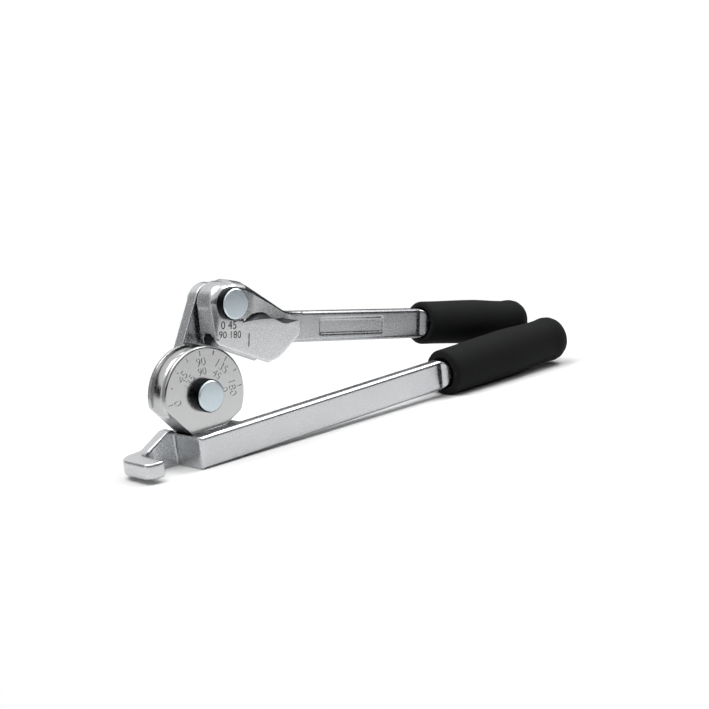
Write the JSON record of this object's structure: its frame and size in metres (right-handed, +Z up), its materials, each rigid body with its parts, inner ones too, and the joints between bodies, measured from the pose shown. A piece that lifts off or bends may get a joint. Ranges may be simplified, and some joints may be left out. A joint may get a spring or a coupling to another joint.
{
  "type": "lever tube bender",
  "caption": "Lever tube bender: fixed handle with hook and grooved forming wheel, a swinging link, and a second handle whose grooved shoe bends the tube round the wheel; foam grips.",
  "frame": {"origin": "on the flat underside of the fixed handle's head block, straight below the forming wheel's axis and in the wheel's middle plane", "axes": "+X along the fixed handle from the hook to the grip, +Y to the back, +Z up"},
  "size_m": [0.2943, 0.0531, 0.0907],
  "materials": {
    "satin_plate": "satin plated forging",
    "wheel_plate": "satin plated, machined groove",
    "zinc_steel": "zinc plated, turned",
    "bronze": "plain bearing bronze",
    "spring_steel": "blackened",
    "foam": "matt closed-cell foam"
  },
  "bodies": {
    "fixed_handle": {"fixed_handle": "satin_plate", "forming_wheel": "wheel_plate", "wheel_screws": "spring_steel", "wheel_dowels": "zinc_steel", "wheel_pin": "zinc_steel", "wheel_thrust_washer": "bronze", "wheel_back_washer": "zinc_steel", "wheel_spring_washer": "spring_steel", "wheel_pin_ring": "spring_steel", "fixed_grip": "foam"},
    "link": {"link_plate": "satin_plate", "link_bush": "bronze", "shoe_pin": "zinc_steel", "shoe_back_washer": "zinc_steel", "shoe_spring_washer": "spring_steel", "shoe_pin_ring": "spring_steel"},
    "shoe_handle": {"shoe_handle": "satin_plate", "shoe_bush": "bronze", "shoe_thrust_washer": "bronze", "shoe_grip": "foam"}
  },
  "joints": [
    {"name": "link_swing", "type": "hinge", "parent": "fixed_handle", "child": "link", "pos_m": [0, 0, 0.0338], "axis": [0, -1, 0], "range_deg": [-61.2, 118.8]},
    {"name": "shoe_handle_pivot", "type": "hinge", "parent": "link", "child": "shoe_handle", "pos_m": [0.0225, 0, 0.07472], "axis": [0, -1, 0], "range_deg": [-1.3, 105]}
  ]
}
